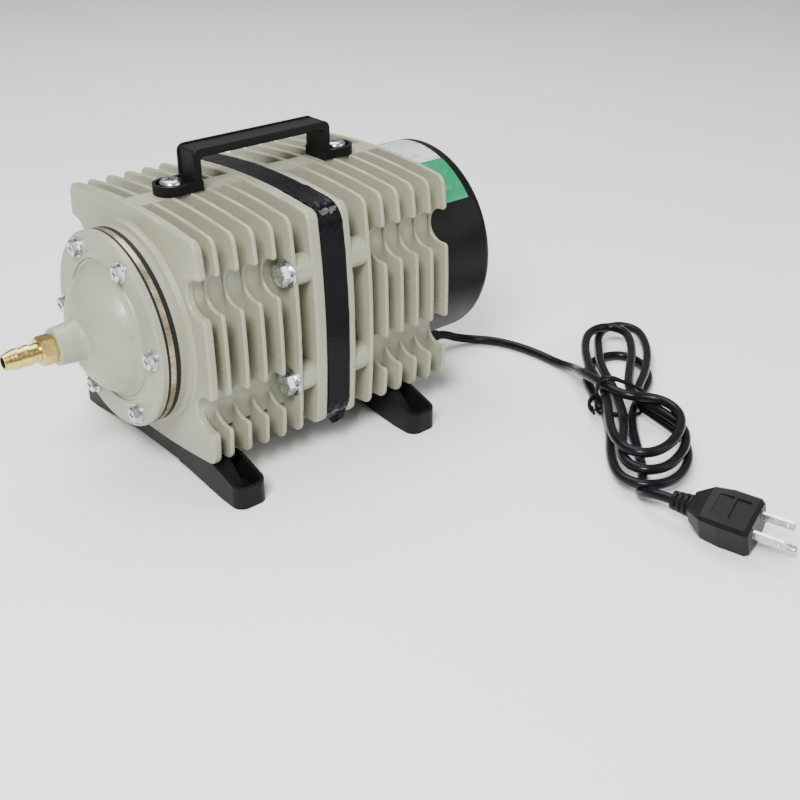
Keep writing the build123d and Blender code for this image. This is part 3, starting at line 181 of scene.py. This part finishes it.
TIE_ALONG = -2.0  # the tie's place along the hank
TIE_MIDDLE = (3.6, 14.3)  # across the hank, and above the floor
TIE_WIDE = 15.0
TIE_HIGH = 13.0
TIE_SQUARE = 5  # how square the ring is, from 2, which is an ellipse
TIE_WIRE = 0.95
TWIST_RADIUS = 1.5
TWIST_TURNS = 2.75
tie_runs = []
for turn, lean in ((0.0, 2.0), (1.9, -1.5)):
    ring = []
    for i in range(28):
        angle = 2 * math.pi * i / 28
        reach = abs(math.cos(angle)) ** TIE_SQUARE + abs(math.sin(angle)) ** TIE_SQUARE
        squash = reach ** (-1 / TIE_SQUARE)
        over = TIE_MIDDLE[0] + TIE_WIDE * squash * math.cos(angle)
        height = TIE_HIGH * squash * math.sin(angle)
        height -= 0.028 * max(0.0, height) * max(0.0, over + 2.0)  # the strands lie lower on that side
        ring.append(hank_point(TIE_ALONG + turn + lean * math.cos(angle), over, TIE_MIDDLE[1] + height))
    tie_runs.append((ring, True))
for strand in (0, 1):
    twist = []
    for i in range(25):
        f = i / 24
        angle = f * TWIST_TURNS * 2 * math.pi + strand * math.pi
        lift = 15.0 - 5.0 * f
        along = TIE_ALONG + 2 + 13.0 * f + TWIST_RADIUS * math.cos(angle)
        over = -11.5 - 4.5 * math.sin(2.9 * f)
        twist.append(hank_point(along, over, lift + TWIST_RADIUS * math.sin(angle)))
    tie_runs.append((twist, False))
wire_tie = round_tube("wire_tie", tie_runs, TIE_WIRE * MM, "cord_tie")


# ------------------------------------------------------------------ adhesive tape round the stator
def circle_through(a, b, c):
    """The centre and radius of the circle through three points."""
    d = 2 * (a[0] * (b[1] - c[1]) + b[0] * (c[1] - a[1]) + c[0] * (a[1] - b[1]))
    sq = [p[0] ** 2 + p[1] ** 2 for p in (a, b, c)]
    x = (sq[0] * (b[1] - c[1]) + sq[1] * (c[1] - a[1]) + sq[2] * (a[1] - b[1])) / d
    y = (sq[0] * (c[0] - b[0]) + sq[1] * (a[0] - c[0]) + sq[2] * (b[0] - a[0])) / d
    return (x, y), math.hypot(a[0] - x, a[1] - y)


OUTLINE_ARCS = [
    circle_through((-67.0, 65.0), (0.0, 70.0), (67.0, 65.0)),
    circle_through((67.0, 65.0), (72.3, 0.0), (69.5, -65.0)),
    circle_through((69.5, -65.0), (0.0, -70.0), (-69.5, -65.0)),
    circle_through((-69.5, -65.0), (-72.3, 0.0), (-67.0, 65.0)),
]


OUTLINE_STEPS = 4000


def reach_at(angle):
    """How far the sharp-cornered outline of the flanges lies from the axis, in a direction."""
    ray = (math.cos(angle), math.sin(angle))
    distances = []
    for (x, y), radius in OUTLINE_ARCS:
        along = ray[0] * x + ray[1] * y
        distances.append(along + math.sqrt(along * along - x * x - y * y + radius * radius))
    return min(distances)


def flange_outline(count):
    """Points round the outline, evenly spaced, its corners rounded like the flanges'."""
    sharp = []
    for i in range(OUTLINE_STEPS):
        angle = math.pi / 2 + 2 * math.pi * i / OUTLINE_STEPS
        sharp.append(Vector((math.cos(angle), math.sin(angle), 0)) * reach_at(angle))
    window = 62  # how many steps each way are averaged to round a corner
    total = Vector((0, 0, 0))
    for i in range(-window, window + 1):
        total += sharp[i]
    soft = []
    for i in range(OUTLINE_STEPS):
        soft.append(total / (2 * window + 1))
        total += sharp[(i + window + 1) % OUTLINE_STEPS] - sharp[(i - window) % OUTLINE_STEPS]
    lengths = [0.0]
    for i in range(OUTLINE_STEPS):
        lengths.append(lengths[-1] + (soft[(i + 1) % OUTLINE_STEPS] - soft[i]).length)
    even = []
    place = 0
    for i in range(count):
        target = lengths[-1] * i / count
        while lengths[place + 1] < target:
            place += 1
        share = (target - lengths[place]) / (lengths[place + 1] - lengths[place])
        even.append(soft[place].lerp(soft[(place + 1) % OUTLINE_STEPS], share))
    return even, lengths[-1]


TAPE_MIDDLE = 87.25
TAPE_HALF = 8.0
TAPE_THICKNESS = 0.22


def crease(a, b, pitch, turn):
    """Ridges that run at an angle across the tape, sharp on top."""
    across = a * math.cos(turn) + b * math.sin(turn)
    wander = noise.noise(Vector((a * 0.16, b * 0.2, pitch)))
    return 1.0 - abs(math.sin(across * math.pi / pitch + 2.6 * wander)) ** 0.7


def tape_band(first, last, lift, ragged):
    """Part of the winding, from one distance round the outline to another, in mm from the top's middle
    towards -Y. lift is its height over the layer below, and ragged is how uneven its ends are."""
    rows = int((last - first) / 0.9)
    columns = 18
    verts = []
    for i in range(rows + 1):
        for j in range(columns + 1):
            b = (2.0 * j / columns - 1.0) * TAPE_HALF
            uneven = ragged * noise.noise(Vector((b * 0.7, first, lift)))
            a = first + uneven + (last - first - uneven) * i / rows
            edge = abs(b) / TAPE_HALF
            wide = b * (1.0 + 0.045 * noise.noise(Vector((a * 0.12, 5.0 if b > 0 else 9.0, lift))))
            place = (a / tape_pitch) % len(tape_line)
            low = int(place)
            here = tape_line[low].lerp(tape_line[(low + 1) % len(tape_line)], place - low)
            ahead = tape_line[(low + 3) % len(tape_line)] - tape_line[(low - 2) % len(tape_line)]
            out = Vector((-ahead.y, ahead.x, 0)).normalized()
            if out.dot(here) < 0:
                out = -out
            bulge = -0.55 + lift + 0.16 * edge ** 4 + 0.10 * noise.noise(Vector((a * 0.07, b * 0.12, 1.0)))
            for corner, spread, tall in TAPE_CORNERS:
                near = math.exp(-((a - corner) / spread) ** 2)
                bulge += near * tall * (crease(a, b, 5.2, 0.9) + 0.7 * crease(a, b, 3.4, -0.5) - 0.5)
            bulge = max(bulge, -0.75)
            spot = here + out * bulge
            verts.append(Vector((FRONT_X + TAPE_MIDDLE + wide, spot.x, AXIS_Z + spot.y)) * MM)
    faces = []
    for i in range(rows):
        for j in range(columns):
            k = i * (columns + 1) + j
            faces.append((k, k + 1, k + columns + 2, k + columns + 1))
    return verts, faces


def flap(start, along, across, curl, length, width):
    """A loose end of tape that curls away from the winding."""
    verts = []
    for i in range(11):
        for j in range(7):
            f = i / 10
            g = j / 6 - 0.5
            bend = curl * f * f
            ripple = 0.5 * noise.noise(Vector((f * 3.0, g * 3.0, length)))
            spot = start + along * (length * (f - 0.35 * bend * f)) + across * (width * g * (1.0 - 0.25 * f))
            spot = spot + along.cross(across).normalized() * (length * 0.5 * bend + ripple)
            verts.append(spot * MM)
    faces = []
    for i in range(10):
        for j in range(6):
            k = i * 7 + j
            faces.append((k, k + 1, k + 8, k + 7))
    return verts, faces


# the outline runs from the top's middle round by -Y, seen from the front
TAPE_POINTS = 1200
tape_line, tape_total = flange_outline(TAPE_POINTS)
tape_pitch = tape_total / TAPE_POINTS
half_top = 67.0
side_run = 128.0
# where the tape crumples at a corner: distance round the outline, spread and height
TAPE_CORNERS = [(half_top - 1.0, 11.0, 0.6), (half_top + side_run, 11.0, 0.9),
                (tape_total - half_top, 9.0, 0.3), (tape_total - half_top - side_run, 9.0, 0.35)]
LAP = (33.0, 207.0, 0.55, 6.0)  # the last layer, whose torn ends show: start, end, height and raggedness
tape_parts = [tape_band(0.0, tape_total, 0.0, 0.0), tape_band(*LAP)]
foot_of_tape = Vector((FRONT_X + TAPE_MIDDLE, -68.0, AXIS_Z - 67.0))
tape_parts.append(flap(foot_of_tape + Vector((-3.0, -0.6, 3.2)), Vector((0.1, -0.25, -0.95)).normalized(),
                       Vector((1.0, 0.1, 0.05)), 0.6, 4.6, 7.0))
tape_parts.append(flap(foot_of_tape + Vector((3.2, -0.2, 4.6)), Vector((-0.1, -0.2, -0.97)).normalized(),
                       Vector((1.0, 0.0, 0.1)), -0.6, 5.0, 7.0))
tape_verts, tape_faces = [], []
for verts, faces in tape_parts:
    base = len(tape_verts)
    tape_verts += verts
    tape_faces += [tuple(base + i for i in face) for face in faces]
tape_mesh = bpy.data.meshes.new("wound_tape")
tape_mesh.from_pydata([tuple(v) for v in tape_verts], [], tape_faces)
wound_tape = link(bpy.data.objects.new("wound_tape", tape_mesh))
thicken = wound_tape.modifiers.new("thickness", "SOLIDIFY")
thicken.thickness = TAPE_THICKNESS * MM
thicken.offset = 0.0
for face in tape_mesh.polygons:
    face.use_smooth = True
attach(wound_tape, "pump")
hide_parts("stator_tape")


# ------------------------------------------------------------------ return spring
coiled_spring = link(bpy.data.objects.new("coiled_spring", nodes["return_spring"].data.copy()))
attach(coiled_spring, "pump")
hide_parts("return_spring")
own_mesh(coiled_spring)


# ------------------------------------------------------------------ materials
class Graph:
    """A material's node tree, with short calls for the nodes that these materials use."""

    def __init__(self, name):
        self.material = bpy.data.materials.new(name)
        self.material.use_nodes = True
        self.tree = self.material.node_tree
        self.shader = self.tree.nodes["Principled BSDF"]
        self.coords = self.tree.nodes.new("ShaderNodeTexCoord").outputs["Object"]

    def node(self, kind, **values):
        made = self.tree.nodes.new(kind)
        for key, value in values.items():
            setattr(made, key, value)
        return made

    def wire(self, source, target):
        self.tree.links.new(source, target)

    def stretched(self, x, y, z):
        mapping = self.node("ShaderNodeMapping")
        mapping.inputs["Scale"].default_value = (x, y, z)
        self.wire(self.coords, mapping.inputs["Vector"])
        return mapping.outputs["Vector"]

    def noise(self, scale, detail=3.0, rough=0.55, vector=None):
        made = self.node("ShaderNodeTexNoise")
        made.inputs["Scale"].default_value = scale
        made.inputs["Detail"].default_value = detail
        made.inputs["Roughness"].default_value = rough
        self.wire(vector or self.coords, made.inputs["Vector"])
        return made.outputs["Fac"]

    def ramp(self, source, low, high, start=0.0, end=1.0):
        """source from start to end becomes low to high: numbers, or colours."""
        if isinstance(low, (int, float)):
            made = self.node("ShaderNodeMapRange")
            made.inputs["From Min"].default_value = start
            made.inputs["From Max"].default_value = end
            made.inputs["To Min"].default_value = low
            made.inputs["To Max"].default_value = high
            self.wire(source, made.inputs["Value"])
            return made.outputs["Result"]
        made = self.node("ShaderNodeValToRGB")
        made.color_ramp.elements[0].position = start
        made.color_ramp.elements[1].position = end
        made.color_ramp.elements[0].color = (*low, 1.0)
        made.color_ramp.elements[1].color = (*high, 1.0)
        self.wire(source, made.inputs["Fac"])
        return made.outputs["Color"]

    def math(self, operation, first, second):
        made = self.node("ShaderNodeMath", operation=operation)
        for socket, value in zip(made.inputs, (first, second)):
            if isinstance(value, (int, float)):
                socket.default_value = value
            else:
                self.wire(value, socket)
        return made.outputs["Value"]

    def mix(self, share, first, second):
        made = self.node("ShaderNodeMix", data_type="RGBA")
        sockets = [s for s in made.inputs if s.enabled]
        for socket, value in zip(sockets, (share, first, second)):
            if isinstance(value, (int, float)):
                socket.default_value = value
            elif isinstance(value, tuple):
                socket.default_value = (*value, 1.0)
            else:
                self.wire(value, socket)
        return [s for s in made.outputs if s.enabled][0]

    def set(self, **values):
        names = {"color": "Base Color", "metal": "Metallic", "rough": "Roughness", "coat": "Coat Weight",
                 "sheen": "Sheen Weight", "specular": "Specular IOR Level"}
        for key, value in values.items():
            socket = self.shader.inputs[names[key]]
            if isinstance(value, (int, float)):
                socket.default_value = value
            elif isinstance(value, tuple):
                socket.default_value = (*value, 1.0)
            else:
                self.wire(value, socket)

    def bump(self, height, distance, strength=1.0):
        made = self.node("ShaderNodeBump")
        made.inputs["Strength"].default_value = strength
        made.inputs["Distance"].default_value = distance
        if self.shader.inputs["Normal"].links:
            self.wire(self.shader.inputs["Normal"].links[0].from_socket, made.inputs["Normal"])
        self.wire(height, made.inputs["Height"])
        self.wire(made.outputs["Normal"], self.shader.inputs["Normal"])


def painted_casting():
    g = Graph("painted_casting")
    cloud = g.noise(14.0, 4.0)
    grain = g.noise(620.0, 2.0)
    peel = g.noise(190.0, 2.0, 0.4)
    tone = g.ramp(cloud, (0.240, 0.246, 0.176), (0.296, 0.302, 0.220), 0.3, 0.72)
    speck = g.ramp(grain, (0.190, 0.194, 0.138), (0.325, 0.331, 0.245), 0.28, 0.6)
    g.set(color=g.mix(0.22, tone, speck), rough=g.ramp(peel, 0.26, 0.40, 0.3, 0.7))
    g.bump(peel, 0.00026, 0.6)
    g.bump(grain, 0.00005, 0.5)
    return g.material


def black_moulding(name, level, gloss):
    g = Graph(name)
    grain = g.noise(900.0, 2.0)
    cloud = g.noise(30.0, 3.0)
    g.set(color=g.ramp(cloud, (level * 0.8,) * 3, (level * 1.35, level * 1.35, level * 1.45), 0.35, 0.7),
          rough=g.ramp(cloud, gloss - 0.06, gloss + 0.08, 0.3, 0.7), specular=0.12)
    g.bump(grain, 0.00006, 0.5)
    return g.material


def plated(name, dull, bright, rough_low, rough_high, scale=260.0):
    g = Graph(name)
    patch = g.noise(scale, 3.0)
    scratch = g.noise(900.0, 2.0, 0.5, g.stretched(1.0, 0.12, 1.0))
    g.set(color=g.ramp(patch, dull, bright, 0.3, 0.7), metal=1.0,
          rough=g.ramp(scratch, rough_low, rough_high, 0.3, 0.7))
    g.bump(scratch, 0.00002, 0.4)
    return g.material


def turned(name, dull, bright, rough):
    """Metal with fine turning marks round the pump's axis."""
    g = Graph(name)
    rings = g.noise(2400.0, 1.0, 0.5, g.stretched(1.0, 0.02, 0.02))
    patch = g.noise(120.0, 3.0)
    g.set(color=g.ramp(patch, dull, bright, 0.3, 0.7), metal=1.0,
          rough=g.ramp(rings, rough - 0.06, rough + 0.1, 0.3, 0.7))
    g.bump(rings, 0.00003, 0.4)
    return g.material


def rubber(name, level):
    g = Graph(name)
    grain = g.noise(700.0, 3.0)
    g.set(color=g.ramp(grain, (level * 0.7,) * 3, (level * 1.5,) * 3, 0.35, 0.7),
          rough=g.ramp(grain, 0.55, 0.75, 0.3, 0.7), specular=0.25)
    g.bump(grain, 0.00006, 0.6)
    return g.material


def tape_film():
    g = Graph("tape_film")
    wrinkle = g.noise(60.0, 4.0, 0.6, g.stretched(0.35, 1.0, 1.0))
    fine = g.noise(420.0, 3.0, 0.6)
    cloud = g.noise(25.0, 3.0)
    g.set(color=g.ramp(cloud, (0.003, 0.003, 0.004), (0.006, 0.006, 0.008), 0.3, 0.7),
          rough=g.ramp(wrinkle, 0.22, 0.40, 0.3, 0.7), specular=0.09)
    g.bump(wrinkle, 0.0003, 0.5)
    g.bump(fine, 0.00006, 0.5)
    return g.material


def soft_pvc():
    g = Graph("soft_pvc")
    cloud = g.noise(60.0, 3.0)
    fine = g.noise(1100.0, 2.0)
    g.set(color=g.ramp(cloud, (0.004, 0.004, 0.005), (0.007, 0.007, 0.009), 0.3, 0.7),
          rough=g.ramp(cloud, 0.20, 0.32, 0.3, 0.7), specular=0.14)
    g.bump(fine, 0.00004, 0.5)
    g.bump(cloud, 0.0002, 0.3)
    return g.material


def laminated():
    g = Graph("laminated")
    sheets = g.noise(2600.0, 1.0, 0.5, g.stretched(1.0, 0.01, 0.01))
    patch = g.noise(90.0, 3.0)
    g.set(color=g.ramp(patch, (0.10, 0.10, 0.105), (0.24, 0.235, 0.23), 0.3, 0.7), metal=1.0,
          rough=g.ramp(sheets, 0.35, 0.6, 0.35, 0.65))
    g.bump(sheets, 0.00015, 0.6)
    return g.material


def windings():
    g = Graph("windings")
    wave = g.node("ShaderNodeTexWave", wave_type="BANDS", bands_direction="Y")
    wave.inputs["Scale"].default_value = 300.0
    wave.inputs["Distortion"].default_value = 0.6
    g.wire(g.coords, wave.inputs["Vector"])
    patch = g.noise(80.0, 3.0)
    g.set(color=g.ramp(patch, (0.36, 0.10, 0.03), (0.62, 0.22, 0.08), 0.3, 0.7), metal=0.6,
          rough=g.ramp(patch, 0.25, 0.4, 0.3, 0.7), coat=0.4)
    g.bump(wave.outputs["Fac"], 0.0003, 0.8)
    return g.material


def felt():
    g = Graph("felt")
    fibre = g.noise(500.0, 5.0, 0.7)
    g.set(color=g.ramp(fibre, (0.48, 0.46, 0.40), (0.74, 0.72, 0.66), 0.3, 0.7), rough=0.95, sheen=0.4)
    g.bump(fibre, 0.0004, 0.8)
    return g.material


def moulded(name, dark, light, rough=0.5):
    g = Graph(name)
    grain = g.noise(500.0, 2.0)
    cloud = g.noise(40.0, 3.0)
    g.set(color=g.ramp(cloud, dark, light, 0.3, 0.7),
          rough=g.ramp(grain, rough - 0.06, rough + 0.08, 0.3, 0.7))
    g.bump(grain, 0.00005, 0.5)
    return g.material


def printed_label(name, ground, mark, rows, amount):
    """Printed foil: a plain ground with rows of small unreadable marks."""
    g = Graph(name)
    cloud = g.noise(70.0, 3.0)
    lines = g.node("ShaderNodeTexWave", wave_type="BANDS", bands_direction="Y")
    lines.inputs["Scale"].default_value = rows
    g.wire(g.coords, lines.inputs["Vector"])
    words = g.noise(420.0, 2.0, 0.6, g.stretched(1.0, 0.35, 0.35))
    row_share = g.ramp(lines.outputs["Fac"], 0.0, 1.0, 0.6, 0.75)
    print_share = g.math("MULTIPLY", row_share, g.ramp(words, 0.0, 1.0, 0.5, 0.56))
    darker = tuple(c * 0.9 for c in ground)
    lighter = tuple(min(1.0, c * 1.08) for c in ground)
    plain = g.ramp(cloud, darker, lighter, 0.3, 0.7)
    g.set(color=g.mix(g.math("MULTIPLY", print_share, amount), plain, mark),
          rough=g.ramp(cloud, 0.26, 0.4, 0.3, 0.7), coat=0.3)
    g.bump(cloud, 0.0002, 0.3)
    return g.material


MATERIALS = {
    "grey_paint": painted_casting(),
    "black_plastic": black_moulding("black_plastic", 0.006, 0.42),
    "cap_plastic": black_moulding("cap_plastic", 0.005, 0.36),
    "zinc_steel": plated("zinc_steel", (0.46, 0.50, 0.53), (0.74, 0.78, 0.80), 0.14, 0.34),
    "yellow_zinc": plated("yellow_zinc", (0.26, 0.22, 0.13), (0.46, 0.41, 0.29), 0.22, 0.42),
    "brass": turned("brass", (0.50, 0.37, 0.10), (0.74, 0.58, 0.20), 0.2),
    "bronze": turned("bronze", (0.36, 0.2, 0.08), (0.5, 0.3, 0.13), 0.45),
    "black_rubber": rubber("black_rubber", 0.007),
    "valve_rubber": rubber("valve_rubber", 0.03),
    "tape": tape_film(),
    "bare_aluminium": turned("bare_aluminium", (0.58, 0.59, 0.60), (0.74, 0.75, 0.76), 0.3),
    "steel": turned("steel", (0.34, 0.35, 0.36), (0.52, 0.53, 0.54), 0.22),
    "lamination_steel": laminated(),
    "spring_steel": plated("spring_steel", (0.16, 0.16, 0.17), (0.34, 0.35, 0.36), 0.25, 0.45),
    "copper_enamel": windings(),
    "nylon": moulded("nylon", (0.62, 0.60, 0.52), (0.78, 0.76, 0.68), 0.45),
    "ptfe": moulded("ptfe", (0.14, 0.08, 0.04), (0.26, 0.16, 0.09), 0.5),
    "felt": felt(),
    "silver_label": printed_label("silver_label", (0.50, 0.51, 0.53), (0.16, 0.17, 0.19), 62.0, 0.55),
    "green_label": printed_label("green_label", (0.0, 0.19, 0.075), (0.04, 0.26, 0.13), 40.0, 0.5),
    "pvc": soft_pvc(),
    "plug_pvc": black_moulding("plug_pvc", 0.006, 0.38),
    "tie": black_moulding("tie", 0.005, 0.3),
    "plated_brass": plated("plated_brass", (0.56, 0.54, 0.49), (0.74, 0.72, 0.67), 0.16, 0.34),
    "lead_wire": moulded("lead_wire", (0.30, 0.02, 0.02), (0.42, 0.04, 0.04), 0.35),
    "epoxy": black_moulding("epoxy", 0.02, 0.3),
}


for entry in frame["record"]["subparts"]:
    obj = nodes[entry["node"]]
    for slot in obj.material_slots:
        slot.link = "OBJECT"
        slot.material = MATERIALS[entry["material_slot"]]
for piece, slot_name in ((mains_cord, "pvc"), (wire_tie, "tie"), (wound_tape, "tape"),
                         (coiled_spring, "spring_steel")):
    piece.data.materials.clear()
    piece.data.materials.append(MATERIALS[slot_name])

# ------------------------------------------------------------------ floor and light
bpy.ops.mesh.primitive_plane_add(size=8.0, location=(0.0, 0.0, -0.0005))
floor = bpy.context.object
floor.name = "floor"
floor_graph = Graph("floor")
floor_cloud = floor_graph.noise(3.0)
floor_graph.set(color=floor_graph.ramp(floor_cloud, (0.86, 0.86, 0.86), (0.9, 0.9, 0.9), 0.3, 0.7), rough=0.6)
floor.data.materials.append(floor_graph.material)

world = bpy.data.worlds.new("studio")
world.use_nodes = True
world.node_tree.nodes["Background"].inputs["Color"].default_value = (1.0, 1.0, 1.0, 1.0)
world.node_tree.nodes["Background"].inputs["Strength"].default_value = 0.36
bpy.context.scene.world = world


def area_light(name, place, aim, size, power):
    data = bpy.data.lights.new(name, "AREA")
    data.shape = "RECTANGLE"
    data.size, data.size_y = size
    data.energy = power
    lamp = link(bpy.data.objects.new(name, data))
    lamp.location = place
    lamp.rotation_euler = (Vector(aim) - Vector(place)).to_track_quat("-Z", "Y").to_euler()
    return lamp


area_light("key", (-0.9, -0.75, 1.25), (0, 0, 0.08), (0.6, 0.6), 52.0)
area_light("fill", (0.9, -1.1, 0.8), (0, 0, 0.08), (0.9, 0.9), 6.0)
area_light("top", (0.2, 0.5, 1.4), (0, 0, 0.08), (1.2, 1.2), 24.0)
